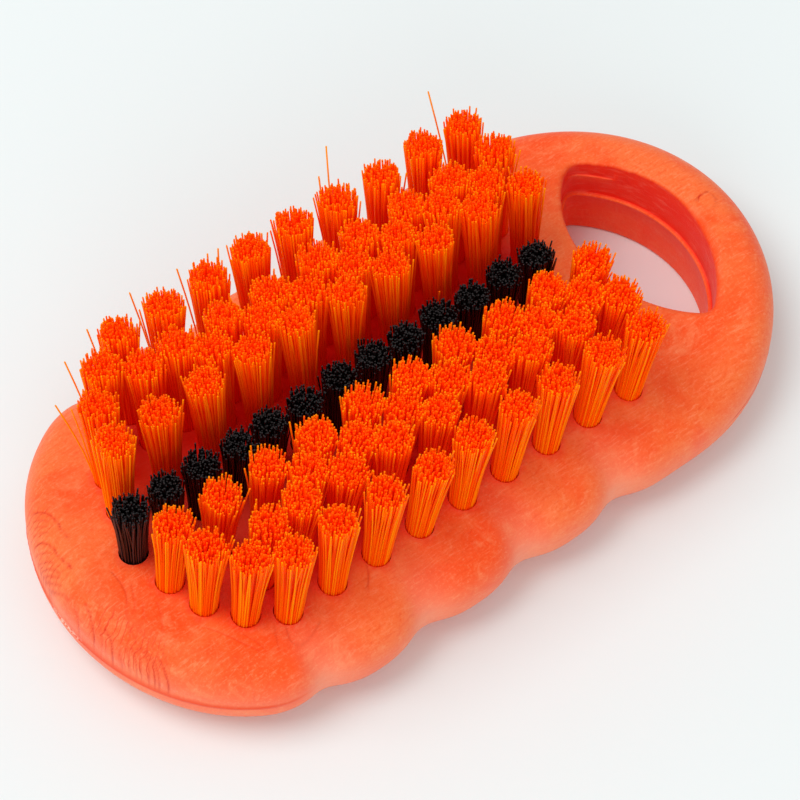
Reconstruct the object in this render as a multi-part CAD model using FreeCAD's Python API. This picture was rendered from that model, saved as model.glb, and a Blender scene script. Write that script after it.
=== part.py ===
import FreeCAD, Part
import math
import os
from FreeCAD import Placement, Rotation, Vector

# Nail brush lying on its back with the bristles up.
# X runs from the toe to the handle, Y across the brush, Z up from the table; sizes in millimetres.

# Moulded block
block_length = 129.0
block_width = 65.6
block_thickness = 18.0
crown_radius = 140.0
face_edge_radius = 6.0
back_edge_radius = 8.6
side_band = 0.3
toe_tip_extra = 2.7
toe_shoulder_inset = 3.3

# Finger grooves along both sides, counted from the handle
groove_pitch = 18.5
groove_from_handle = 48.5
groove_toe_margin = 20.0
groove_depth = 1.9
groove_radius = 5.0
groove_blend = 12.0
lobe_land = 0.5

# Handle hole, a lens between two arcs
handle_bar = 9.6
hole_length = 18.4
hole_width = 34.6
hole_corner_setback = 8.8
hole_corner_radius = 2.0
hole_rim_radius = 0.8
rim_land = 0.3

# Tuft holes and the tufts pressed into them, drawn with few flat sides
tuft_side_count = 8
tuft_hole_diameter = 4.4
tuft_hole_depth = 11.0
tuft_clearance = 0.05
tuft_gap = 0.4
splay_angle = 5.0
orange_trim = 18.3
black_trim = 12.6

# Tuft pattern: rows counted outwards from the centre line, columns from the toe
black_count = 13
black_toe_margin = 12.5
black_end_setback = 2.9
inner_count = 10
inner_toe_margin = 14.0
far_bank_shift = 1.2
hole_margin = 9.6
inner_row_offset = 7.1
stagger_step = 3.85
middle_step = 3.55
outer_step = 6.5
plain_column_count = 2
outer_lead = 5.9
outer_end_setback = 0.8
toe_turn_count = 2
toe_bulge = 0.6

# Flat anchor wire that holds each folded tuft down
anchor_thickness = 0.45
anchor_height = 2.0
anchor_lift = 1.5
anchor_clearance = 0.02

half_width = block_width / 2
toe_x = -block_length / 2
handle_x = block_length / 2
handle_centre_x = handle_x - half_width
toe_tip_radius = half_width + toe_tip_extra
toe_shoulder_radius = half_width - toe_shoulder_inset
toe_centre_x = toe_x + toe_tip_radius
shoulder_reach = toe_tip_radius - toe_shoulder_radius
shoulder_y = half_width - toe_shoulder_radius
shoulder_run = math.sqrt(shoulder_reach ** 2 - shoulder_y ** 2)
shoulder_x = toe_centre_x - shoulder_run
hole_outer_x = handle_x - handle_bar
hole_inner_x = hole_outer_x - hole_length
hole_corner_x = hole_outer_x - hole_corner_setback


def crown_height(y):
    return block_thickness - crown_radius + math.sqrt(crown_radius ** 2 - y ** 2)


def prism(edges, height):
    return Part.Face(Part.Wire(Part.__sortEdges__(edges))).extrude(Vector(0, 0, height))


def arc(start, middle, end):
    return Part.Arc(Vector(*start), Vector(*middle), Vector(*end)).toShape()


def line(start, end):
    return Part.LineSegment(Vector(*start), Vector(*end)).toShape()


# Plan outline: a half circle round the handle, straight sides, a fuller toe of three arcs
def outline_edges():
    joint_x = toe_centre_x - toe_tip_radius * shoulder_run / shoulder_reach
    joint_y = toe_tip_radius * shoulder_y / shoulder_reach
    half_turn = (math.pi / 2 + math.atan2(shoulder_y, shoulder_run)) / 2
    shoulder_mid_x = shoulder_x - toe_shoulder_radius * math.cos(half_turn)
    shoulder_mid_y = shoulder_y + toe_shoulder_radius * math.sin(half_turn)
    edges = [
        arc((handle_centre_x, -half_width, 0), (handle_x, 0, 0), (handle_centre_x, half_width, 0)),
        arc((joint_x, joint_y, 0), (toe_x, 0, 0), (joint_x, -joint_y, 0)),
    ]
    for side in (-1, 1):
        edges.append(line((handle_centre_x, side * half_width, 0), (shoulder_x, side * half_width, 0)))
        edges.append(arc((shoulder_x, side * half_width, 0), (shoulder_mid_x, side * shoulder_mid_y, 0),
                         (joint_x, side * joint_y, 0)))
    return edges


# Distance from the centre line to the smooth side at a place along the block
def side_at(x):
    if x > shoulder_x:
        return half_width
    return shoulder_y + math.sqrt(toe_shoulder_radius ** 2 - (x - shoulder_x) ** 2)


# Axes of the upright cylinders that hollow the finger grooves, as many as fit, square to the side
def groove_axes():
    room = block_length - groove_from_handle - groove_toe_margin
    axes = []
    for i in range(1 + int(room / groove_pitch)):
        x = handle_x - groove_from_handle - i * groove_pitch
        side = Vector(x, side_at(x), 0)
        outwards = (side - Vector(max(x, shoulder_x), shoulder_y, 0)).normalize()
        axis = side + outwards * (groove_radius - groove_depth)
        axes += [(axis.x, -axis.y), (axis.x, axis.y)]
    return axes


def upright(edge):
    start, end = edge.Vertexes[0].Point, edge.Vertexes[-1].Point
    return math.hypot(end.x - start.x, end.y - start.y) < 1e-6 and abs(end.z - start.z) > 1


# Hollows the grooves and rounds the lobes left between them, as far as the pitch leaves room
def cut_grooves(block):
    axes = groove_axes()
    cutters = [Part.makeCylinder(groove_radius, block_thickness, Vector(x, y, 0)) for x, y in axes]
    block = block.cut(Part.makeCompound(cutters))
    corners = []
    for edge in block.Edges:
        foot = edge.Vertexes[0]
        off_axis = min(math.dist((foot.X, foot.Y), axis) for axis in axes)
        if upright(edge) and abs(off_axis - groove_radius) < 0.01:
            corners.append(edge)
    half_pitch = (groove_pitch - lobe_land) / 2
    room = (half_pitch ** 2 + groove_depth ** 2) / (2 * groove_depth) - groove_radius
    return block.makeFillet(min(groove_blend, room), corners)


# Edges round the bristle face or round the back, with or without those of the handle hole
def level_edges(block, on_face, in_hole):
    found = []
    for edge in block.Edges:
        box = edge.BoundBox
        inside = box.XMin > hole_inner_x - 0.1 and box.XMax < hole_outer_x + 0.1
        inside = inside and max(-box.YMin, box.YMax) < hole_width / 2 + 0.1
        high = edge.CenterOfMass.z > block_thickness / 2
        if not upright(edge) and high == on_face and inside == in_hole:
            found.append(edge)
    return found


# How far a rounding of the bristle face's edge reaches down the side
def face_setback(radius):
    slope = math.asin(half_width / crown_radius)
    return radius * math.tan(math.pi / 4 - slope / 2)


def handle_hole():
    corner = hole_width / 2
    lens = prism([
        arc((hole_corner_x, -corner, 0), (hole_outer_x, 0, 0), (hole_corner_x, corner, 0)),
        arc((hole_corner_x, corner, 0), (hole_inner_x, 0, 0), (hole_corner_x, -corner, 0)),
    ], block_thickness)
    return lens.makeFillet(hole_corner_radius, [e for e in lens.Edges if upright(e)])


def plain_block():
    block = prism(outline_edges(), block_thickness)
    crown_axis = Vector(toe_x, 0, block_thickness - crown_radius)
    crown = Part.makeCylinder(crown_radius, block_length, crown_axis, Vector(1, 0, 0))
    block = cut_grooves(block.common(crown))
    face_rounding = min(face_edge_radius, (crown_height(half_width) - side_band) / 2)
    back_room = crown_height(half_width) - side_band - face_setback(face_rounding)
    back_rounding = min(back_edge_radius, back_room)
    block = block.makeFillet(back_rounding, level_edges(block, False, False))
    block = block.makeFillet(face_rounding, level_edges(block, True, False))
    block = block.cut(handle_hole())
    for on_face, rounding in ((True, face_rounding), (False, back_rounding)):
        rim = min(hole_rim_radius, handle_bar - rounding - rim_land)
        block = block.makeFillet(rim, level_edges(block, on_face, True))
    return block


# Evenly spaced places along the block
def spread(first, last, count):
    return [first + (last - first) * i / (count - 1) for i in range(count)]


# Places of the tufts along the rows of one bank and along the centre row
def inner_columns():
    return spread(toe_x + inner_toe_margin, hole_inner_x - hole_margin, inner_count)


def stagger_columns():
    inner = inner_columns()
    return [(a + b) / 2 for a, b in zip(inner[plain_column_count:], inner[plain_column_count + 1:])]


def outer_columns():
    inner = inner_columns()
    first = inner[plain_column_count] - outer_lead
    last = inner[-1] - outer_end_setback
    return spread(first, last, 1 + inner_count - plain_column_count)


def middle_columns():
    return outer_columns()[:1] + inner_columns()[plain_column_count:]


def black_columns():
    return spread(toe_x + black_toe_margin, inner_columns()[-1] - black_end_setback, black_count)


# Tufts on the turn between the inner and the outer row, spaced evenly round the toe's centre
def toe_turn():
    inner = Vector(inner_columns()[0] - toe_centre_x, inner_row_offset, 0)
    outer = Vector(outer_columns()[0] - toe_centre_x, outer_row_offset(), 0)
    start, end = math.atan2(inner.y, -inner.x), math.atan2(outer.y, -outer.x)
    places = []
    for i in range(1, toe_turn_count + 1):
        share = i / (toe_turn_count + 1)
        angle = start + (end - start) * share
        radius = inner.Length + (outer.Length - inner.Length) * share + toe_bulge
        places.append((toe_centre_x - radius * math.cos(angle), radius * math.sin(angle)))
    return places


def stagger_row_offset():
    return inner_row_offset + stagger_step


def middle_row_offset():
    return stagger_row_offset() + middle_step


def outer_row_offset():
    return middle_row_offset() + outer_step


# Tufts of one bank, grouped as they stand side by side across the bank
def bank_groups():
    groups = {}
    stagger = stagger_columns()
    for i, x in enumerate(inner_columns()):
        places = [(x, inner_row_offset)]
        if i > plain_column_count:
            places.append((stagger[i - plain_column_count - 1], stagger_row_offset()))
        groups[f"inner_tufts_{i + 1:02d}"] = places
    for i, (middle_x, outer_x) in enumerate(zip(middle_columns(), outer_columns())):
        places = [(middle_x, middle_row_offset()), (outer_x, outer_row_offset())]
        groups[f"outer_tufts_{i + 1:02d}"] = places
    groups["toe_tufts"] = toe_turn()
    return groups


# Tufts flare until they nearly touch their closest neighbour
def flare_radius():
    places = [p for group in bank_groups().values() for p in group]
    places += [(x, 0) for x in black_columns()]
    spacings = [math.dist(a, b) for i, a in enumerate(places) for b in places[:i]]
    return (min(spacings) - tuft_gap) / 2


# Places a piece made along +Z from the bristle face at its tuft, leaning outwards
def seat(shape, x, y, lean):
    turn = Rotation(Vector(1, 0, 0), -lean)
    shape.Placement = Placement(Vector(x, y, crown_height(y)), turn)
    return shape


# Corners of a tuft's or its hole's section, with two flats square to the row
def corners(radius, height):
    turns = [(i + 0.5) * 2 * math.pi / tuft_side_count for i in range(tuft_side_count)]
    return [Vector(radius * math.cos(t), radius * math.sin(t), height) for t in turns]


def flat(points):
    return Part.Face(Part.makePolygon(points + points[:1]))


# Flat-sided solid through sections that lie one above the other
def flat_sided(sections):
    faces = [flat(sections[0]), flat(sections[-1])]
    for low, high in zip(sections, sections[1:]):
        faces += [flat([low[i - 1], low[i], high[i], high[i - 1]]) for i in range(tuft_side_count)]
    return Part.Solid(Part.Shell(faces))


def tuft_hole(x, y, lean):
    radius = tuft_hole_diameter / 2
    return seat(flat_sided([corners(radius, -tuft_hole_depth), corners(radius, radius)]), x, y, lean)


def anchor_box(x, y, lean, grow):
    across_flats = tuft_hole_diameter * math.cos(math.pi / tuft_side_count)
    length = across_flats - 2 * anchor_clearance + 2 * grow
    thick = anchor_thickness + 2 * grow
    height = anchor_height + 2 * grow
    corner = Vector(-length / 2, -thick / 2, anchor_lift - tuft_hole_depth - grow)
    return seat(Part.makeBox(length, thick, height, corner), x, y, lean)


# A tuft folded round its anchor: a plug in the hole, flared above it and trimmed level
def tuft(x, y, lean, trim):
    plug = tuft_hole_diameter / 2 - tuft_clearance
    floor = tuft_clearance - tuft_hole_depth
    flare = max(flare_radius(), plug)
    sections = [corners(plug, floor), corners(plug, 0), corners(flare, trim), corners(flare, trim + plug)]
    bundle = seat(flat_sided(sections), x, y, lean)
    top = block_thickness + trim
    slab = Part.makeBox(block_length, block_width, top, Vector(toe_x, -half_width, 0))
    return bundle.common(slab).cut(anchor_box(x, y, lean, anchor_clearance)).Solids[0]


def export(shape, name):
    shape.exportStep(f"parts/{name}.step")


os.makedirs("parts", exist_ok=True)
bores = []

# The far bank stands a little nearer the handle than the near one
for bank, side, shift in (("near", -1, 0), ("far", 1, far_bank_shift)):
    anchors = []
    for group, places in bank_groups().items():
        tufts = []
        for bank_x, bank_y in places:
            x = bank_x + shift
            y = side * bank_y
            lean = side * splay_angle
            tufts.append(tuft(x, y, lean, orange_trim))
            anchors.append(anchor_box(x, y, lean, 0))
            bores.append(tuft_hole(x, y, lean))
        export(Part.makeCompound(tufts), f"{bank}_{group}")
    export(Part.makeCompound(anchors), f"{bank}_anchors")

anchors = []
for i, x in enumerate(black_columns()):
    export(tuft(x, 0, 0, black_trim), f"black_tuft_{i + 1:02d}")
    anchors.append(anchor_box(x, 0, 0, 0))
    bores.append(tuft_hole(x, 0, 0))
export(Part.makeCompound(anchors), "black_anchors")

export(plain_block().cut(Part.makeCompound(bores)), "block")
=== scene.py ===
import math
import bpy
import numpy as np
from mathutils import Matrix, Vector
from mathutils.geometry import delaunay_2d_cdt


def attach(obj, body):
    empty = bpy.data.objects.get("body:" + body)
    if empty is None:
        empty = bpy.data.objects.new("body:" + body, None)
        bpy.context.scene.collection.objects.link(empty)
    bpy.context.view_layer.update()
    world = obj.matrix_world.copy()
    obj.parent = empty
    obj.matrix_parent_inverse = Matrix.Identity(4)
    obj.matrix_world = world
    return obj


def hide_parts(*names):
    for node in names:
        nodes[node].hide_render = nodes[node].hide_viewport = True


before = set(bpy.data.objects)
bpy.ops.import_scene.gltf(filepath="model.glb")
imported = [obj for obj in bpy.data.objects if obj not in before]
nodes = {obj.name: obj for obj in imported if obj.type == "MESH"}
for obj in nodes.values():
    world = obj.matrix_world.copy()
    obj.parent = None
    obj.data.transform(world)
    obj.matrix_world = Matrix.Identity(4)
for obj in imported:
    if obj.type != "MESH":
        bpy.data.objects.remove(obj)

bpy.ops.object.select_all(action="DESELECT")
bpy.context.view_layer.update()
print("frame loaded,", len(nodes), "nodes")


class Value:  # a shader output whose arithmetic adds Math nodes
    def __init__(self, tree, socket):
        self.tree = tree
        self.socket = socket

    def math(self, operation, *items):
        node = self.tree.nodes.new("ShaderNodeMath")
        node.operation = operation
        for place, item in enumerate(items):
            plug(self.tree, item, node.inputs[place])
        return Value(self.tree, node.outputs[0])

    def __add__(self, other):
        return self.math("ADD", self, other)

    def __radd__(self, other):
        return self.math("ADD", other, self)

    def __sub__(self, other):
        return self.math("SUBTRACT", self, other)

    def __rsub__(self, other):
        return self.math("SUBTRACT", other, self)

    def __mul__(self, other):
        return self.math("MULTIPLY", self, other)

    def __rmul__(self, other):
        return self.math("MULTIPLY", other, self)

    def __abs__(self):
        return self.math("ABSOLUTE", self)


def plug(tree, item, socket):
    if isinstance(item, Value):
        tree.links.new(item.socket, socket)
    else:
        socket.default_value = item


class Paint:  # one procedural material
    def __init__(self, name):
        self.material = bpy.data.materials.new(name)
        self.material.use_nodes = True
        self.tree = self.material.node_tree
        self.tree.nodes.clear()

    def add(self, kind, settings, inputs, output=0):
        node = self.tree.nodes.new(kind)
        for key, item in settings.items():
            setattr(node, key, item)
        for key, item in inputs.items():
            plug(self.tree, item, node.inputs[key])
        return Value(self.tree, node.outputs[output])

    def placeMm(self):
        place = self.add("ShaderNodeTexCoord", {}, {}, "Object")
        return self.add("ShaderNodeVectorMath", {"operation": "SCALE"}, {0: place, "Scale": 1000.0})

    def attribute(self, name):
        return self.add("ShaderNodeAttribute", {"attribute_name": name}, {}, "Fac")

    def noise(self, place, scale, detail=2.0, rough=0.5, warp=0.0):
        return self.add("ShaderNodeTexNoise", {}, {"Vector": place, "Scale": scale, "Detail": detail,
                                                   "Roughness": rough, "Distortion": warp})

    def ramp(self, value, low, high, outLow=0.0, outHigh=1.0):
        return self.add("ShaderNodeMapRange", {"interpolation_type": "SMOOTHSTEP"}, {
            "Value": value, "From Min": low, "From Max": high, "To Min": outLow, "To Max": outHigh})

    def mix(self, factor, first, second):
        return self.add("ShaderNodeMix", {"data_type": "RGBA"}, {0: factor, 6: first, 7: second}, 2)

    def finish(self, shader):
        output = self.tree.nodes.new("ShaderNodeOutputMaterial")
        self.tree.links.new(shader.socket, output.inputs["Surface"])
        return self.material


def colour(red, green, blue):  # display values 0 to 255, turned into linear light
    def linear(value):
        value /= 255
        return value / 12.92 if value <= 0.04045 else ((value + 0.055) / 1.055) ** 2.4
    return (linear(red), linear(green), linear(blue), 1.0)


foamLook = {  # places along the outline and over the parting line in mm, then sizes of the grain
    "toeRun": 172.0, "handleRun": 303.5, "seamRise": 0.3, "weaveRun": 169.5, "weaveApart": 11.5, "weaveRise": 5.0,
    "flakeRun": 168.5, "flakeRise": 0.36, "strokeTurn": 0.7, "bump": 0.36, "grain": 0.0002,
}


def foamPaint():
    paint = Paint("coral_foam")
    look = foamLook
    place = paint.placeMm()
    run, rise = paint.attribute("rimRun"), paint.attribute("rimRise")
    broad = paint.noise(place, 0.06, 3.0, 0.55, 0.6)
    cloud = paint.noise(place, 0.2, 5.0, 0.6, 1.6)
    fleck = paint.noise(place, 2.1, 6.0, 0.72, 0.3)
    slant = paint.add("ShaderNodeMapping", {}, {
        "Vector": place, "Rotation": (0.0, 0.0, look["strokeTurn"]), "Scale": (0.5, 3.0, 1.0)})
    stroke = paint.noise(slant, 0.9, 3.0, 0.7, 0.4)
    body = paint.mix(paint.ramp(broad, 0.38, 0.62), colour(250, 82, 22), colour(250, 110, 50))
    body = paint.mix(paint.ramp(cloud, 0.50, 0.74, 0.0, 0.55), body, colour(252, 136, 84))
    body = paint.mix(paint.ramp(fleck, 0.50, 0.72, 0.0, 0.5), body, colour(252, 146, 96))
    body = paint.mix(paint.ramp(fleck, 0.47, 0.32, 0.0, 0.55), body, colour(246, 74, 18))
    body = paint.mix(paint.ramp(stroke, 0.52, 0.72, 0.0, 0.4), body, colour(252, 150, 104))
    body = paint.mix(paint.ramp(stroke, 0.46, 0.30, 0.0, 0.45), body, colour(240, 70, 20))
    # painted reflection: the lower rounding and the groove scoops painted paler, standing in for the white floor
    # reflected at grazing angles
    pale = paint.ramp(rise, 7.5, -1.0, 0.0, 0.32) + paint.attribute("scoop") * 0.42
    body = paint.mix(pale, body, colour(248, 158, 126))
    toe = paint.ramp(abs(run - look["toeRun"]), 40.0, 30.0)
    seam = toe + paint.ramp(abs(run - look["handleRun"]), 11.5, 8.5)
    seam = seam * paint.ramp(abs(rise - look["seamRise"]), 0.6, 0.15, 0.0, 0.8)
    body = paint.mix(seam, body, colour(232, 66, 26))
    weave = run * 0.95 + rise * 0.12 + paint.noise(place, 0.22, 2.0) * 3.0
    fine = paint.ramp(abs(weave.math("FRACT", weave) - 0.5), 0.13, 0.03)
    fine = fine * paint.ramp(abs(rise - look["weaveRise"]), 4.5, 2.5)
    besideToe = paint.ramp(abs(abs(run - look["weaveRun"]) - look["weaveApart"]), 9.5, 5.0)
    fine = fine * besideToe * paint.ramp(cloud, 0.35, 0.55)
    body = paint.mix(fine * 0.7, body, colour(214, 48, 16))
    # painted highlight: a whitish glint painted along the flash flake at the toe
    flake = paint.ramp(abs(run - look["flakeRun"]), 4.8, 1.5) * paint.ramp(abs(rise - look["flakeRise"]), 0.34, 0.12)
    body = paint.mix(flake * paint.ramp(fleck, 0.42, 0.56, 0.0, 0.8), body, colour(252, 206, 184))
    # painted shade: deep red where tufts stand close, standing in for light lost and bounced between them
    body = paint.mix(paint.ramp(paint.attribute("crowdShade"), 0.48, 0.95, 0.0, 0.9), body, colour(228, 22, 10))
    # painted shade in the lens hole and the tuft holes, darkest deep in the recesses; the streaks are wall texture
    # with painted sheen
    level = paint.add("ShaderNodeMapping", {}, {"Vector": place, "Scale": (0.35, 0.35, 1.3)})
    streakSheen = paint.ramp(paint.noise(level, 0.8, 4.0, 0.65, 0.3), 0.45, 0.8, 0.0, 0.7)
    wallShadeColour = paint.mix(streakSheen, colour(240, 46, 22), colour(246, 116, 92))
    body = paint.mix(paint.attribute("wallShade"), body, wallShadeColour)
    # painted shade: the crease dents painted darker
    body = paint.mix(paint.attribute("crease") * 0.85, body, colour(206, 46, 14))
    grain = fleck * 0.8 + stroke * 0.7 + paint.noise(place, 5.5, 2.0, 0.6) * 0.4
    bump = paint.add("ShaderNodeBump", {}, {"Strength": look["bump"], "Distance": look["grain"], "Height": grain})
    return paint.finish(paint.add("ShaderNodeBsdfPrincipled", {}, {
        "Base Color": body, "Roughness": paint.ramp(cloud, 0.3, 0.7, 0.42, 0.55), "Specular IOR Level": 0.18,
        "Sheen Weight": 0.06, "Sheen Roughness": 0.4, "Sheen Tint": (1.0, 0.88, 0.82, 1.0), "Normal": bump}))


def bristlePaint(name, tones):
    paint = Paint(name)
    tint, depth = paint.attribute("strandTintAndGlow"), paint.attribute("strandShade")
    # strand tint varies at random, with painted light making outer and stray strands paler
    body = paint.mix(paint.ramp(tint, 0.0, 0.5), tones["low"], tones["plain"])
    body = paint.mix(paint.ramp(tint, 0.55, 1.0), body, tones["pale"])
    # painted shade: deep red for strands low in crowded tufts, in the valley and inside each tuft
    body = paint.mix(depth * 0.95, body, tones["paintedShade"])
    # painted glow: a faint red emission standing in for light scattered through the nylon
    paintedGlow = paint.mix(depth, (1.0, 0.06, 0.0, 1.0), (0.3, 0.0, 0.0, 1.0))
    surface = paint.add("ShaderNodeBsdfPrincipled", {}, {
        "Base Color": body, "Roughness": 0.32, "Specular IOR Level": tones["shine"],
        "Emission Color": paintedGlow, "Emission Strength": tones["glow"]})
    lit = paint.add("ShaderNodeBsdfTranslucent", {}, {"Color": tones["through"]})
    # translucency fades where shade is painted
    lightShare = tones["share"] * (1.0 - depth)
    return paint.finish(paint.add("ShaderNodeMixShader", {}, {0: lightShare, 1: surface, 2: lit}))


def wirePaint():
    paint = Paint("anchor_steel")
    scratch = paint.noise(paint.placeMm(), 3.0, 2.0)
    return paint.finish(paint.add("ShaderNodeBsdfPrincipled", {}, {
        "Base Color": colour(190, 190, 192), "Metallic": 1.0,
        "Roughness": paint.ramp(scratch, 0.3, 0.7, 0.28, 0.45)}))


# the darkest tone is the colour of painted shade
orangeTones = {"low": colour(255, 58, 0), "plain": colour(255, 112, 0), "pale": colour(255, 178, 4),
               # glow: strength of the painted glow
               "paintedShade": colour(244, 16, 0), "through": colour(255, 182, 30), "share": 0.45, "shine": 0.1, "glow": 0.1}
blackTones = {"low": colour(8, 6, 8), "plain": colour(16, 12, 14), "pale": colour(40, 37, 40),
              "paintedShade": colour(20, 4, 4), "through": colour(70, 12, 10), "share": 0.14, "shine": 0.45, "glow": 0.0}
foam = foamPaint()
orange = bristlePaint("orange_nylon", orangeTones)
black = bristlePaint("black_nylon", blackTones)
steel = wirePaint()
print("materials made")


def newPiece(name, vertices, faces, material, replaced):
    mesh = bpy.data.meshes.new(name)
    mesh.from_pydata(vertices, [], faces)
    mesh.validate()
    mesh.update()
    piece = bpy.data.objects.new(name, mesh)
    bpy.context.scene.collection.objects.link(piece)
    mesh.materials.append(material)
    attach(piece, "root")
    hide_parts(*replaced)
    bpy.ops.object.select_all(action="DESELECT")
    piece.select_set(True)
    bpy.context.view_layer.objects.active = piece
    return piece


def store(piece, name, values):
    data = piece.data.attributes.new(name, "FLOAT", "POINT").data
    data.foreach_set("value", np.asarray(values, np.float32))


def welded(node):  # vertices and triangles of a CAD node with shared corners
    mesh = nodes[node].data
    mesh.calc_loop_triangles()
    points = np.array([v.co for v in mesh.vertices])
    corners = np.array([t.vertices for t in mesh.loop_triangles])
    _, first, back = np.unique(np.round(points * 1e6).astype(int), axis=0, return_index=True, return_inverse=True)
    return points[first], back.reshape(-1)[corners]


def islands(node):
    points, corners = welded(node)
    group = np.arange(len(points))
    while True:
        low = group[corners].min(axis=1)
        fresh = group.copy()
        for side in range(3):
            np.minimum.at(fresh, corners[:, side], low)
        if (fresh == group).all():
            break
        group = fresh
    return [points[group == g] for g in np.unique(group)]


block = {
    "sliceZ": 0.0090, "thickness": 0.0180, "crownRadius": 0.140, "faceRadius": 0.0060, "backRadius": 0.0086,
    "backRim": 0.0007, "fineStep": 0.0002, "plainStep": 0.00045, "fineFrom": 0.140, "fineTo": 0.216,
    "lensPoints": 300, "backSteps": 12, "faceSteps": 22, "gridStep": 0.0011, "ridge": 0.00009, "flake": 0.00014,
    "grooveX": (0.0152, -0.0033, -0.0218, -0.0403), "grooveToe": 0.45, "grooveHandle": 1.15, "grooveReach": 0.0046,
    "grooveIn": 0.0055, "grooveFrom": 1.0, "grooveFull": 6.0, "grooveDent": 0.0009, "outlinePasses": 14,
    "lensPasses": 3, "holeRadius": 0.00228, "holeDepth": 0.0030, "holePoints": 20, "edgeKeep": 0.55,
}
riseMarks = {  # rises in mm that say where a point lies
    "back": -14.0, "face": 0.6, "amongTufts": 9.0, "walls": 35.0, "lens": 40.0, "tuftHole": 60.0,
}
crowdSizes = {"reach": 0.005, "full": 3.6}


def crown(y):
    return block["thickness"] - block["crownRadius"] + np.sqrt(block["crownRadius"] ** 2 - y ** 2)


def smooth(value, low, high):
    t = np.clip((value - low) / (high - low), 0, 1)
    return t * t * (3 - 2 * t)


def sliceLoops(node, height):  # closed loops where a level plane cuts a CAD node
    points, corners = welded(node)
    above = points[:, 2] > height
    links = {}
    places = {}
    for tri in corners[above[corners].any(axis=1) & ~above[corners].all(axis=1)]:
        cut = []
        for a, b in ((tri[0], tri[1]), (tri[1], tri[2]), (tri[2], tri[0])):
            if above[a] != above[b]:
                key = (min(a, b), max(a, b))
                t = (height - points[a][2]) / (points[b][2] - points[a][2])
                places[key] = points[a] + (points[b] - points[a]) * t
                cut.append(key)
        links.setdefault(cut[0], []).append(cut[1])
        links.setdefault(cut[1], []).append(cut[0])
    loops = []
    left = set(links)
    while left:
        start = min(left)
        loop, last, here = [start], None, start
        while True:
            left.discard(here)
            onward = [k for k in links[here] if k != last]
            last, here = here, onward[0]
            if here == start:
                break
            loop.append(here)
        loops.append(np.array([places[k][:2] for k in loop]))
    return sorted(loops, key=lambda loop: -np.ptp(loop[:, 0]))


def around(items, passes):  # evens out values along a closed loop
    for _ in range(passes):
        items = (np.roll(items, -1, axis=0) + 2 * items + np.roll(items, 1, axis=0)) / 4
    return items


def closedRun(loop):  # the loop anticlockwise from its +X end, closed, with the distance along it
    area = np.sum(loop[:, 0] * np.roll(loop[:, 1], -1) - loop[:, 1] * np.roll(loop[:, 0], -1))
    if area < 0:
        loop = loop[::-1]
    loop = np.roll(loop, -int(np.argmax(loop[:, 0])), axis=0)
    closed = np.vstack([loop, loop[:1]])
    return closed, np.concatenate([[0], np.cumsum(np.linalg.norm(np.diff(closed, axis=0), axis=1))])


def along(closed, run, at, passes):
    return around(np.column_stack([np.interp(at, run, closed[:, k]) for k in (0, 1)]), passes)


def inwards(loop):
    ahead = around(np.roll(loop, -1, axis=0) - np.roll(loop, 1, axis=0), 6)
    ahead /= np.linalg.norm(ahead, axis=1)[:, None]
    return np.column_stack([-ahead[:, 1], ahead[:, 0]])


def wave(run, total, counts, seed):  # smooth closed noise along a loop, about -1 to 1
    chance = np.random.default_rng(seed)
    angle = 2 * math.pi * run / total
    made = sum(np.sin(angle * n + chance.uniform(0, 6.28)) * chance.uniform(0.4, 1.0) for n in counts)
    return made / math.sqrt(len(counts) / 2)


def tuftSeats(node):  # foot on the block's face, direction and length above it for each tuft of a node
    seats = []
    for points in islands(node):
        order = points[np.argsort(points[:, 2])]
        foot = order[:8].mean(axis=0)
        top = points[points[:, 2] > order[-1][2] - 1e-5].mean(axis=0)
        lean = (top - foot) / np.linalg.norm(top - foot)
        t = (crown(foot[1]) - foot[2]) / lean[2]
        for _ in range(4):
            place = foot + lean * t
            t += (crown(place[1]) - place[2]) / lean[2]
        seats.append((foot + lean * t, lean, np.linalg.norm(top - foot) - t))
    return seats


tuftNodes = sorted(n for n in nodes if "tuft" in n)
seats = {n: tuftSeats(n) for n in tuftNodes}
allSeats = [s for n in tuftNodes for s in seats[n]]
feet = np.array([foot for foot, _, _ in allSeats])
print("tufts found:", len(allSeats))


def crowdShade(places):  # how closely tufts stand round each place, about 1 inside a bank; sets the amount of painted shade
    total = np.zeros(len(places))
    for x, y, _ in feet:
        total += np.exp(-((places[:, 0] - x) ** 2 + (places[:, 1] - y) ** 2) / (2 * crowdSizes["reach"] ** 2))
    return np.clip(total / crowdSizes["full"], 0, 1)


closedOutline, closedDistance = closedRun(sliceLoops("block", block["sliceZ"])[0])
outlineLength = closedDistance[-1]
finely = np.linspace(0, outlineLength, 20001)
isFine = (finely > block["fineFrom"]) & (finely < block["fineTo"])
pace = np.cumsum(np.where(isFine, 1 / block["fineStep"], 1 / block["plainStep"])) * finely[1]
outlineRun = np.interp(np.arange(int(pace[-1])) / int(pace[-1]) * pace[-1], pace, finely)
outline = along(closedOutline, closedDistance, outlineRun, block["outlinePasses"])
outlineIn = inwards(outline)

closedLens, lensDistance = closedRun(sliceLoops("block", block["sliceZ"])[1])
lensLength = lensDistance[-1]
lensRun = np.linspace(0, lensLength, block["lensPoints"], endpoint=False)
lens = along(closedLens, lensDistance, lensRun, block["lensPasses"])
lensOut = -inwards(lens)
print("outline", round(outlineLength, 4), "with", len(outline), "points, lens", round(lensLength, 4))

vertices = []
faces = []
rims = []  # run along the outline, rise over the parting line in mm, painted wall shade


def addRing(places, heights, run, rise, tone=0.0):
    start = len(vertices)
    for (x, y), z, s, shade in zip(places, heights, run, np.broadcast_to(tone, len(places))):
        vertices.append((float(x), float(y), float(z)))
        rims.append((float(s) * 1000, float(rise), float(shade)))
    return list(range(start, start + len(places)))


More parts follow.
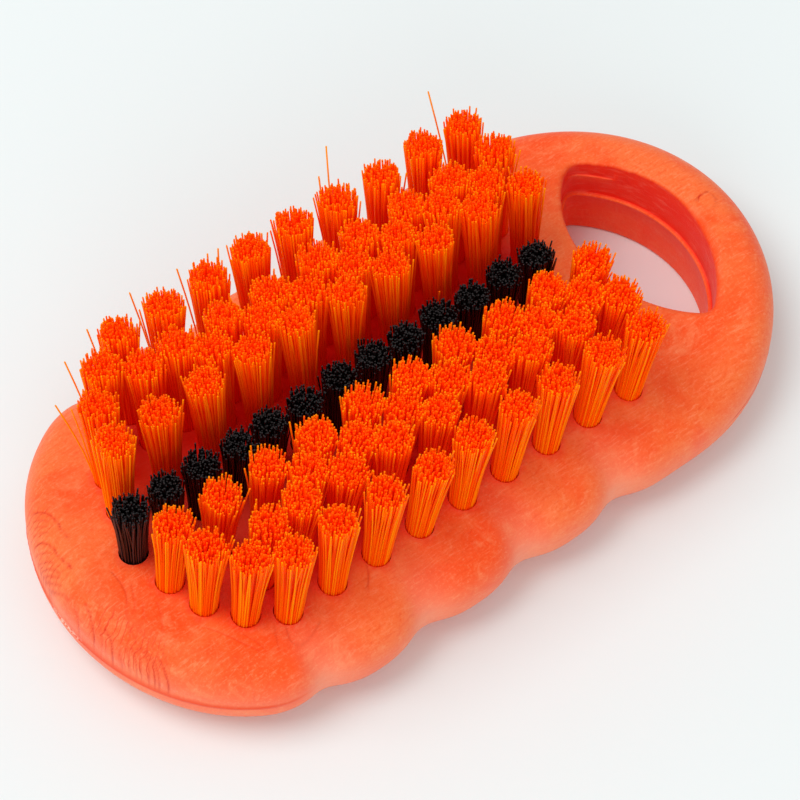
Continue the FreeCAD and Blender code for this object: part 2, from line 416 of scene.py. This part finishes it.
def bridge(low, high):
    count = len(low)
    for i in range(count):
        j = (i + 1) % count
        faces.append((low[i], low[j], high[j], high[i]))


backRadius, faceRadius = block["backRadius"], block["faceRadius"]
level = np.ones(len(outline))
rings = []
for k in range(block["backSteps"] + 1):
    a = math.pi / 2 * k / block["backSteps"]
    inset, height = backRadius * (1 - math.sin(a)), backRadius * (1 - math.cos(a))
    rings.append((outline + outlineIn * inset, level * height, -1000 * backRadius * (math.pi / 2 - a)))

ragged = wave(outlineRun, outlineLength, range(25, 90), 4) * 0.5
ragged += wave(outlineRun, outlineLength, range(90, 400), 5) * 0.5
nearToe = smooth(0.040 - abs(outlineRun - foamLook["toeRun"] / 1000), 0, 0.01)
nearFlake = smooth(0.005 - abs(outlineRun - foamLook["flakeRun"] / 1000), 0, 0.0015)
ridge = block["ridge"] * (0.7 + 0.3 * np.clip(ragged, -1, 1.6)) * (0.3 + 0.7 * nearToe)
ridge += block["flake"] * np.clip(ragged + 0.4, 0, 1.4) * nearFlake
for rise, share in ((0.16, 0.0), (0.24, 0.8), (0.34, 1.0), (0.42, 0.75), (0.5, 0.0)):  # parting ridge
    rings.append((outline - outlineIn * (ridge * share)[:, None], level * (backRadius + rise / 1000), rise))

probe = outline + outlineIn * faceRadius
ahead = outline + outlineIn * (faceRadius + 0.0005)
slope = np.arctan2(crown(ahead[:, 1]) - crown(probe[:, 1]), 0.0005)
ballZ = crown(probe[:, 1]) - faceRadius / np.cos(slope)
for k in range(block["faceSteps"] + 1):
    turn = math.pi - (math.pi / 2 - slope) * k / block["faceSteps"]
    inset = faceRadius * (1 + np.cos(turn))
    height = ballZ + faceRadius * np.sin(turn)
    faceRise = 1 + 1000 * faceRadius * math.pi / 2 * k / block["faceSteps"]
    rings.append((outline + outlineIn * inset[:, None], height, faceRise))

made = [addRing(places, heights, outlineRun, rise) for places, heights, rise in rings]
for low, high in zip(made, made[1:]):
    bridge(low, high)
backLoop, faceLoop = made[0], made[-1]

hole = {"crisp": 0.0006, "soft": 0.0011, "setback": 0.0004, "ledgeZ": 0.0093, "shortZ": 0.0140, "shortPush": 0.0003,
        "ragged": 0.00006, "rimSteps": 7, "bar": (0.044, 0.048), "softY": (-0.008, 0.004), "farY": (0.006, 0.012),
        "ribY": (0.0115, 0.0135), "backSet": 0.00012, "backSteps": 5}
lensX, lensY = lens[:, 0], lens[:, 1]
bar = 1 - smooth(lensX, *hole["bar"])
rim = hole["crisp"] + hole["soft"] * np.maximum(1 - smooth(lensY, *hole["softY"]), 0.6 * bar)
farEnd = smooth(lensY, *hole["farY"])
rough = wave(lensRun, lensLength, range(8, 60), 9) * hole["ragged"] * farEnd
shortRib = smooth(lensY, *hole["ribY"]) * (1 - bar)
lensRings = []
# painted shade deepens down the rim rounding into the hole
for k in range(hole["rimSteps"] + 1):
    a = math.pi / 2 * k / hole["rimSteps"]
    out = hole["setback"] + rim * (1 - math.sin(a)) + rough * math.sin(a)
    places = lens + lensOut * out[:, None]
    lensRings.append((places, crown(places[:, 1]) - rim * (1 - math.cos(a)), 0.9 * (k / hole["rimSteps"]) ** 3))
shortPush = hole["shortPush"] * shortRib
for height, out, tone in (  # down the wall: height, distance outwards, painted wall shade (lower on the ledge and rib, which are painted lighter as highlights)
        (hole["shortZ"] + 0.00012, hole["setback"] + rough * 0.3, 1.0),
        (hole["shortZ"], hole["setback"] - shortPush, 1.0 - 0.75 * shortRib),
        (hole["shortZ"] - 0.0004, hole["setback"] - shortPush, 1.0 - 0.3 * shortRib),
        (0.0118, hole["setback"], 0.95),
        (hole["ledgeZ"] + 0.00010, hole["setback"] + 0.00008, 1.0),
        (hole["ledgeZ"], -0.00008, 0.1),
        (hole["ledgeZ"] - 0.00016, -0.00018, 0.1),
        (hole["ledgeZ"] - 0.0004, -0.00010, 0.6),
        (hole["ledgeZ"] - 0.0007, 0.00003, 0.7),
        (0.0050, 0.00008, 0.5)):
    places = lens + lensOut * np.broadcast_to(out, len(lens))[:, None]
    lensRings.append((places, np.full(len(lens), height), tone))
backRim = block["backRim"]
for k in range(hole["backSteps"] + 1):
    a = math.pi / 2 * k / hole["backSteps"]
    places = lens + lensOut * (hole["backSet"] + backRim * (1 - math.cos(a)))
    lensRings.append((places, np.full(len(lens), backRim * (1 - math.sin(a))), 0.4))
made = [addRing(places, heights, lensRun, riseMarks["lens"], tone) for places, heights, tone in lensRings]
for high, low in zip(made, made[1:]):
    bridge(high, low)
lensFaceLoop, lensBackLoop = made[0], made[-1]

# Moulding creases, dented and painted darker as painted shade: strength, then places in mm across the bristle face
creases = (
    (1, ((-59.3, 15.9), (-58.8, 15.2), (-58.1, 14.0), (-57.9, 12.7), (-57.9, 11.1), (-58.2, 9.4), (-58.4, 8.2))),
    (0.6, ((-60.0, 14.6), (-59.3, 13.9), (-58.8, 12.7))),
    (0.6, ((-60.5, 13.6), (-59.9, 13.1), (-59.5, 12.1))),
    (0.6, ((-61.3, 12.8), (-60.5, 12.2), (-59.9, 11.1))),
    (1, ((-62.1, 11.4), (-61.6, 11.2), (-61.1, 10.3), (-60.8, 9.1), (-60.8, 7.9), (-61.0, 6.2), (-60.8, 4.8),
         (-60.7, 3.5))),
    (0.65, ((-62.7, 10.3), (-62.1, 9.4), (-61.5, 8.1))),
    (0.7, ((-63.2, 8.9), (-62.6, 7.9), (-62.1, 6.7))),
    (0.7, ((-63.6, 7.8), (-63.0, 6.8), (-62.4, 5.4), (-62.3, 4.3))),
    (0.7, ((-63.8, 7.0), (-63.3, 5.6), (-62.8, 4.1))),
    (0.7, ((-63.9, 6.2), (-63.7, 4.5), (-63.2, 3.0))),
    (0.65, ((-64.2, 5.4), (-64.1, 3.3), (-63.6, 1.7), (-63.6, 0.5))),
    (0.7, ((-63.6, -1.1), (-63.9, -2.5), (-64.4, -3.2))),
    (1, ((-62.4, -2.3), (-62.6, -3.8), (-63.3, -5.4), (-63.8, -6.3))),
    (1, ((-62.3, -7.2), (-62.4, -9.0), (-62.8, -9.8), (-63.1, -9.9))),
    (0.6, ((-62.2, -5.1), (-62.8, -6.8), (-63.4, -7.8))),
    (0.65, ((-62.4, -10.9), (-62.6, -11.6), (-62.7, -11.9))),
    (0.65, ((-61.5, -11.3), (-61.8, -12.6), (-62.3, -13.2))),
    (0.8, ((-60.9, -11.7), (-61.1, -13.2), (-61.6, -14.0), (-61.9, -14.3))),
    (0.75, ((-60.4, -12.6), (-60.7, -14.0), (-61.4, -14.7))),
    (0.85, ((-59.9, -12.8), (-60.0, -14.8), (-60.7, -15.8))),
    (0.85, ((-59.5, -13.5), (-59.7, -15.5), (-60.3, -16.7))),
    (0.85, ((-59.3, -14.7), (-59.5, -16.2), (-60.0, -17.3))),
    (1, ((-58.8, -15.5), (-58.8, -16.6), (-59.0, -17.7), (-59.1, -18.5), (-59.3, -18.8))),
    (0.45, ((-57.8, -15.1), (-58.0, -16.5), (-58.4, -17.3))),
    (0.45, ((-56.5, -0.9), (-56.5, -2.6), (-56.7, -4.5), (-57.4, -6.0), (-58.7, -7.5), (-59.6, -9.3),
            (-60.0, -11.1), (-59.8, -12.9))),
    (0.3, ((-55.7, -4.8), (-56.5, -6.7), (-57.7, -8.2))),
    (0.3, ((-55.9, -7.9), (-57.1, -9.8))),
    (0.35, ((-54.2, -9.0), (-54.7, -10.8), (-55.9, -12.7), (-57.1, -14.3))),
    (0.35, ((-58.7, -10.3), (-58.7, -12.3), (-58.7, -14.0), (-58.5, -15.2))),
    (0.4, ((-50.6, -16.4), (-49.0, -18.7), (-47.7, -21.3), (-46.5, -23.4))),
    (0.3, ((-46.8, -20.2), (-45.9, -22.1), (-45.6, -23.6))),
    (0.3, ((-42.3, -21.9), (-43.1, -23.4), (-43.8, -24.8))),
    (0.35, ((-40.9, -22.9), (-41.6, -24.3), (-41.6, -25.5), (-40.7, -26.2), (-39.4, -26.1), (-38.0, -25.7),
            (-36.4, -25.0))),
    (0.6, ((-25.2, -21.7), (-26.1, -23.4), (-27.1, -24.4))),
    (0.3, ((-50.1, -22.7), (-49.6, -24.6), (-49.8, -26.4), (-50.3, -27.5))),
    (1.2, ((57.9, -0.5), (58.5, -0.2), (59.1, -0.1), (60.0, -0.6))),
    (0.6, ((60.3, -1.0), (60.2, -2.2), (59.4, -3.2), (58.3, -3.5))),
)
creaseSizes = {"width": 0.00016, "depth": 0.00012, "step": 0.00025,
               "beside": (-0.0003, -0.00013, 0.0, 0.00013, 0.0003), "edgeGap": 0.00012, "gridGap": 0.0004,
               "passes": 8}


def drawn(places):  # evenly spaced points along a crease, with the direction across it
    ends = np.array(places) / 1000
    run = np.concatenate([[0], np.cumsum(np.linalg.norm(np.diff(ends, axis=0), axis=1))])
    at = np.linspace(0, run[-1], max(3, int(run[-1] / creaseSizes["step"])))
    line = np.column_stack([np.interp(at, run, ends[:, k]) for k in (0, 1)])
    for _ in range(creaseSizes["passes"]):
        line[1:-1] = (line[:-2] + 2 * line[1:-1] + line[2:]) / 4
    ahead = np.gradient(line, axis=0)
    ahead /= np.linalg.norm(ahead, axis=1)[:, None]
    return line, np.column_stack([-ahead[:, 1], ahead[:, 0]])


creaseLines = [(strength,) + drawn(places) for strength, places in creases]


def insideLoop(places, loop):
    x, y = places[:, 0], places[:, 1]
    odd = np.zeros(len(places), bool)
    for (x0, y0), (x1, y1) in zip(loop, np.roll(loop, -1, axis=0)):
        cross = (y0 > y) != (y1 > y)
        with np.errstate(divide="ignore", invalid="ignore"):
            odd ^= cross & (x < (x1 - x0) * (y - y0) / (y1 - y0) + x0)
    return odd


def nearest(places, others):
    return np.concatenate([np.linalg.norm(part[:, None, :] - others[None], axis=2).min(axis=1)
                           for part in np.array_split(places, 1 + len(places) // 200)])


def fillFace(loops, extra, step, height, upward):  # triangles between loops, with points inside
    flat = [np.array([vertices[i][:2] for i in loop]) for loop in loops]
    outer, edge = flat[0], np.vstack(flat)
    xs = np.arange(outer[:, 0].min(), outer[:, 0].max(), step)
    ys = np.arange(outer[:, 1].min(), outer[:, 1].max(), step)
    grid = np.array([(x + (step / 2 if r % 2 else 0), y) for r, y in enumerate(ys) for x in xs])
    grid = grid[nearest(grid, edge) > step * block["edgeKeep"]]
    if len(extra):
        extra = extra[nearest(extra, edge) > creaseSizes["edgeGap"]]
        grid = np.vstack([grid[nearest(grid, extra) > creaseSizes["gridGap"]], extra])
    keep = insideLoop(grid, outer)
    for loop in flat[1:]:
        keep &= ~insideLoop(grid, loop)
    grid = grid[keep]
    inner = []
    for (x, y), gap in zip(grid, nearest(grid, outline)):
        inner.append(len(vertices))
        vertices.append((float(x), float(y), float(height(y))))
        rims.append((0.0, float(faceRise + gap * 1000) if upward else riseMarks["back"], 0.0))
    index = [i for loop in loops for i in loop] + inner
    edges = []
    start = 0
    for loop in loops:
        edges += [(start + k, start + (k + 1) % len(loop)) for k in range(len(loop))]
        start += len(loop)
    out, _, tris, source, _, _ = delaunay_2d_cdt([Vector(vertices[i][:2]) for i in index], edges, [], 0, 1e-9)
    tris = np.array(tris)
    centre = np.array([tuple(p) for p in out])[tris].mean(axis=1)
    keep = insideLoop(centre, outer)
    for loop in flat[1:]:
        keep &= ~insideLoop(centre, loop)
    for tri in tris[keep]:
        ids = [index[source[v][0]] for v in tri]
        faces.append(tuple(ids if upward else ids[::-1]))


holeLoops = []
for foot, lean, _ in allSeats:
    ring = []
    turn = np.linspace(0, 2 * math.pi, block["holePoints"], endpoint=False)
    circle = foot[:2] + block["holeRadius"] * np.column_stack([np.cos(turn), np.sin(turn)])
    # the tone is painted shade, darker down the tuft hole
    for depth, tone in ((0.0, 0.5), (0.0004, 1.0), (block["holeDepth"], 1.0)):
        places = circle - lean[:2] * depth
        ring.append(addRing(places, crown(places[:, 1]) - depth, turn * 0, riseMarks["tuftHole"], tone))
    bridge(ring[0], ring[1])
    bridge(ring[1], ring[2])
    faces.append(tuple(ring[2]))
    holeLoops.append(ring[0])

beside = np.vstack([line + across * off for _, line, across in creaseLines for off in creaseSizes["beside"]])
_, first = np.unique(np.round(beside / 0.0001).astype(int), axis=0, return_index=True)
fillFace([faceLoop, lensFaceLoop] + holeLoops, beside[first], block["gridStep"], crown, True)
fillFace([backLoop, lensBackLoop], (), block["gridStep"] * 2, lambda y: 0.0, False)

points = np.array(vertices)
rims = np.array(rims)
outside = rims[:, 1] < riseMarks["walls"]
upper = smooth(rims[:, 1], block["grooveFrom"], block["grooveFull"]) * outside
gap = nearest(points[:, :2], outline[::3])
scoop = np.zeros(len(points))
for x in block["grooveX"]:  # steep towards the toe, slow towards the handle
    off = (points[:, 0] - x) / block["grooveReach"]
    scoop += np.exp(-np.where(off < 0, off / block["grooveToe"], off / block["grooveHandle"]) ** 2)
scoop *= np.exp(-gap / block["grooveIn"])
points[:, 2] -= block["grooveDent"] * scoop * upper
body = newPiece("coral_block", points.tolist(), faces, foam, ["block"])
bpy.ops.object.mode_set(mode="EDIT")
bpy.ops.mesh.select_all(action="SELECT")
bpy.ops.mesh.normals_make_consistent(inside=False)
bpy.ops.object.mode_set(mode="OBJECT")

onFace = (rims[:, 1] > riseMarks["face"]) & outside
crease = np.zeros(len(points))
for strength, line, _ in creaseLines:
    inBox = (points[:, :2] > line.min(axis=0) - 0.001) & (points[:, :2] < line.max(axis=0) + 0.001)
    picked = np.flatnonzero(onFace & inBox.all(axis=1))
    off = nearest(points[picked, :2], line)
    crease[picked] = np.maximum(crease[picked], strength * np.exp(-(off / creaseSizes["width"]) ** 2))
normals = np.array([n.vector for n in body.data.vertex_normals])
points -= normals * (crease * creaseSizes["depth"])[:, None]
body.data.vertices.foreach_set("co", points.ravel())
body.data.update()
for name, values in (("rimRun", rims[:, 0]), ("rimRise", rims[:, 1]), ("wallShade", rims[:, 2]), ("crease", crease),
                     ("scoop", scoop * outside), ("crowdShade", crowdShade(points) * (rims[:, 1] > riseMarks["amongTufts"]))):
    store(body, name, values)
bpy.ops.object.shade_smooth_by_angle(angle=math.radians(40))
print("block made,", len(faces), "faces")

strand = {  # what both kinds share: form, then tints with painted light, then where the painted shade lies
    "radius": 0.00014, "sides": 5, "rings": 5, "footSpread": 0.00196, "bend": 0.00022, "sink": 0.0022,
    "flarePower": 1.3, "tallShare": 0.02, "leanJitter": 0.012, "lengthJitter": 0.0002, "topRange": (0.94, 1.05),
    "turnStep": 2.399963, "strayFrom": 0.7, "farY": (0.012, 0.019),
    "outerGlowTint": 0.58, "tintRange": (-0.06, 0.42), "strayGlowTint": 0.3, "apartGlowTint": 1.2, "tipTint": 0.04, "tipPower": 12,
    "innerRange": (0.78, 0.97), "innerShade": 0.85, "lowZ": 0.018, "riseOver": 0.0175, "fade": 0.3,
    "crowdFrom": 0.42, "crowdOver": 0.4, "valleyY": 0.004, "valleyHalf": (0.0055, 0.0085), "valleyX": (-0.05, -0.042),
}
orangeStrand = {
    **strand, "count": 205, "topSpread": 0.00300, "jitter": 0.00013, "cut": 0.00032, "dome": 0.0005,
    "strayShare": 0.05, "strayReach": 0.0009, "tall": 0.0011, "farExtra": 0.0011,
}
blackStrand = {
    **strand, "count": 190, "topSpread": 0.00275, "jitter": 0.00017, "cut": 0.0004, "dome": 0.0006,
    "strayShare": 0.03, "strayReach": 0.0006, "tall": 0.0008, "farExtra": 0.0,
}
strayTips = np.array((  # ends of single bristles that stand apart
    (25.9, 30.0, 38.5), (6.3, 30.7, 38.5), (2.4, 27.6, 37.5), (-47.1, 22.7, 36.5), (-51.7, 18.3, 34.5),
    (-41.3, 25.3, 37.0), (-32.9, 26.5, 38.0), (-24.8, 25.6, 38.0), (-17.7, 25.3, 38.0), (9.0, 5.3, 33.0),
    (6.9, 2.7, 31.5), (29.8, 5.4, 36.0), (30.0, -10.7, 37.0))) / 1000
strayOwners = {}
for tip in strayTips:
    gaps = {(n, i): np.linalg.norm(foot + lean * length - tip)
            for n in tuftNodes if not n.startswith("black") for i, (foot, lean, length) in enumerate(seats[n])}
    strayOwners.setdefault(min(gaps, key=gaps.get), []).append(tip)


def bristles(node, look, material, seed):
    chance = np.random.default_rng(seed)
    count, sides, ringCount = look["count"], look["sides"], look["rings"]
    points = []
    tints = []
    inners = []
    t = np.linspace(0, 1, ringCount) ** 0.5
    t[1:-1] = t[1:-1] * 0.95 - 0.05  # rings stand closer in the upper half
    for number, (foot, lean, length) in enumerate(seats[node]):
        lean = lean + chance.normal(0, look["leanJitter"], 3)
        lean /= np.linalg.norm(lean)
        across = np.cross(lean, (0.0, 1.0, 0.0))
        across /= np.linalg.norm(across)
        beside = np.cross(lean, across)
        order = np.arange(count)
        share = np.sqrt((order + 0.5) / count)
        turn = chance.uniform(0, 6.28) + order * look["turnStep"]
        flat = np.column_stack([np.cos(turn), np.sin(turn)])
        spread = look["topSpread"] * chance.uniform(*look["topRange"], 2)
        start = flat * share[:, None] * look["footSpread"]
        end = flat * share[:, None] * spread + chance.normal(0, look["jitter"], (count, 2))
        stray = (chance.uniform(size=count) < look["strayShare"]) & (share > look["strayFrom"])
        end += flat * (stray * chance.uniform(0.3, 1.0, count) * look["strayReach"])[:, None]
        height = length + chance.normal(0, look["lengthJitter"]) - look["dome"] * share ** 2
        height = height + chance.normal(0, look["cut"], count)
        height += (chance.uniform(size=count) < look["tallShare"]) * chance.uniform(0.3, 1.0, count) * look["tall"]
        height += look["farExtra"] * smooth(foot[1], *look["farY"])
        apartPicks = []
        for tip in strayOwners.get((node, number), ()):
            apart = tip - foot
            wanted = np.array([apart @ across, apart @ beside])
            pick = int(np.argmax(flat @ wanted * share))
            end[pick] = wanted
            height[pick] = apart @ lean
            apartPicks.append(pick)
        bend = chance.normal(0, look["bend"], (count, 2))
        off = start[:, None] + (end - start)[:, None] * (t ** look["flarePower"])[None, :, None]
        off = off + bend[:, None] * (t ** 3)[None, :, None]
        up = -look["sink"] + (height + look["sink"])[:, None] * t[None]
        centre = foot + lean * up[..., None] + across * off[..., :1] + beside * off[..., 1:]
        side = turn[:, None] + 2 * math.pi * np.arange(sides)[None] / sides
        ring = (across * np.cos(side)[..., None] + beside * np.sin(side)[..., None]) * look["radius"]
        points.append((centre[:, :, None, :] + ring[:, None]).reshape(-1, 3))
        # painted light: outer-shell and stray strands tinted paler, standing in for light through the translucent
        # nylon; the rest varies at random
        tint = look["outerGlowTint"] * share + chance.uniform(*look["tintRange"], count) + look["strayGlowTint"] * stray
        tint[apartPicks] = look["apartGlowTint"]
        nearTip = t ** look["tipPower"]
        tint = tint[:, None] + look["tipTint"] * nearTip[None]
        tints.append(np.repeat(tint, sides))
        inner = (1 - smooth(share, *look["innerRange"]))[:, None] * (1 - nearTip)[None]
        inners.append(np.repeat(inner, sides))
    points = np.vstack(points)
    total = len(points) // (sides * ringCount)
    start = np.arange(total)[:, None, None] * sides * ringCount
    low = start + np.arange(ringCount - 1)[None, :, None] * sides
    here = np.arange(sides)[None, None]
    onward = (here + 1) % sides
    quads = np.stack([low + here, low + onward, low + sides + onward, low + sides + here], axis=-1).reshape(-1, 4)
    caps = start[:, 0] + (ringCount - 1) * sides + np.arange(sides)[None]
    piece = newPiece(node + "_bristles", points.tolist(), quads.tolist() + caps.tolist(), material, [node])
    store(piece, "strandTintAndGlow", np.concatenate(tints))
    # painted shade: strongest low down, among crowded tufts, in the valley by the black row and on inner strands
    paintedShade = (1 - np.clip((points[:, 2] - look["lowZ"]) / look["riseOver"], 0, 1)) ** look["fade"]
    crowded = np.clip((crowdShade(points) - look["crowdFrom"]) / look["crowdOver"], 0, 1) * paintedShade
    valley = 1 - smooth(np.abs(points[:, 1] - look["valleyY"]), *look["valleyHalf"])
    valley = valley * smooth(points[:, 0], *look["valleyX"]) * paintedShade
    store(piece, "strandShade", np.maximum.reduce([crowded, valley, look["innerShade"] * np.concatenate(inners)]))
    bpy.ops.object.shade_smooth_by_angle(angle=math.radians(80))


for seed, node in enumerate(tuftNodes):
    if node.startswith("black"):
        bristles(node, blackStrand, black, seed)
    else:
        bristles(node, orangeStrand, orange, seed)
print("bristles made")

for node in ("near_anchors", "far_anchors", "black_anchors"):
    nodes[node].data.materials.clear()
    nodes[node].data.materials.append(steel)

stage = {
    "floor": 8.0, "world": 0.65, "key": 22.5, "keyPlace": (-0.84, 0.44, 1.9), "keySize": 1.4,
    "front": 12.5, "frontPlace": (-1.5, -1.5, 0.9), "frontSize": 1.6, "bounces": 24, "diffuseBounces": 16,
}
floorPaint = Paint("pale_floor")
floorShade = floorPaint.ramp(floorPaint.noise(floorPaint.placeMm(), 0.004, 1.0), 0.3, 0.7)
floorColour = floorPaint.mix(floorShade, colour(229, 236, 236), colour(230, 237, 237))
floorMaterial = floorPaint.finish(floorPaint.add("ShaderNodeBsdfPrincipled", {}, {
    "Base Color": floorColour, "Roughness": 0.9, "Specular IOR Level": 0.0}))
bpy.ops.mesh.primitive_plane_add(size=stage["floor"], location=(0, 0, 0))
floor = bpy.context.object
floor.name = "floor"
floor.data.materials.append(floorMaterial)

world = bpy.data.worlds.new("studio")
bpy.context.scene.world = world
world.use_nodes = True
world.node_tree.nodes["Background"].inputs["Color"].default_value = (1.0, 1.0, 1.0, 1.0)
world.node_tree.nodes["Background"].inputs["Strength"].default_value = stage["world"]

view = {
    "target": (-0.00407, -0.00245, 0.018), "azimuth": -40.386, "elevation": 56.875, "roll": 3.0, "distance": 0.4883,
    "lens": 144.0, "sensor": 36.0, "clip": (0.01, 20.0),
}
target = Vector(view["target"])
azimuth, elevation, roll = (math.radians(view[angle]) for angle in ("azimuth", "elevation", "roll"))
levelShare = math.cos(elevation)
backAxis = Vector((math.sin(azimuth) * levelShare, -math.cos(azimuth) * levelShare, math.sin(elevation)))
levelAxis = Vector((math.cos(azimuth), math.sin(azimuth), 0))
uprightAxis = backAxis.cross(levelAxis)
rightAxis = levelAxis * math.cos(roll) + uprightAxis * math.sin(roll)
upAxis = uprightAxis * math.cos(roll) - levelAxis * math.sin(roll)


def softLight(name, place, size, energy):
    bpy.ops.object.light_add(type="AREA", location=place)
    light = bpy.context.object
    light.name = name
    light.data.shape = "DISK"
    light.data.size = size
    light.data.energy = energy
    light.rotation_euler = (target - Vector(place)).to_track_quat("-Z", "Y").to_euler()


softLight("key_light", stage["keyPlace"], stage["keySize"], stage["key"])
softLight("front_light", stage["frontPlace"], stage["frontSize"], stage["front"])

cameraData = bpy.data.cameras.new("photo_camera")
camera = bpy.data.objects.new("photo_camera", cameraData)
bpy.context.scene.collection.objects.link(camera)
cameraData.lens = view["lens"]
cameraData.sensor_width = view["sensor"]
cameraData.clip_start, cameraData.clip_end = view["clip"]
cameraPlace = target + backAxis * view["distance"]
rows = [(rightAxis[k], upAxis[k], backAxis[k], cameraPlace[k]) for k in range(3)]
camera.matrix_world = Matrix(rows + [(0, 0, 0, 1)])
bpy.context.scene.camera = camera
bpy.context.scene.view_settings.view_transform = "Standard"
lightPath = bpy.context.scene.cycles  # light goes deep between the bristles
lightPath.max_bounces = stage["bounces"]
lightPath.diffuse_bounces = stage["diffuseBounces"]
lightPath.transmission_bounces = stage["bounces"]
print("stage made")
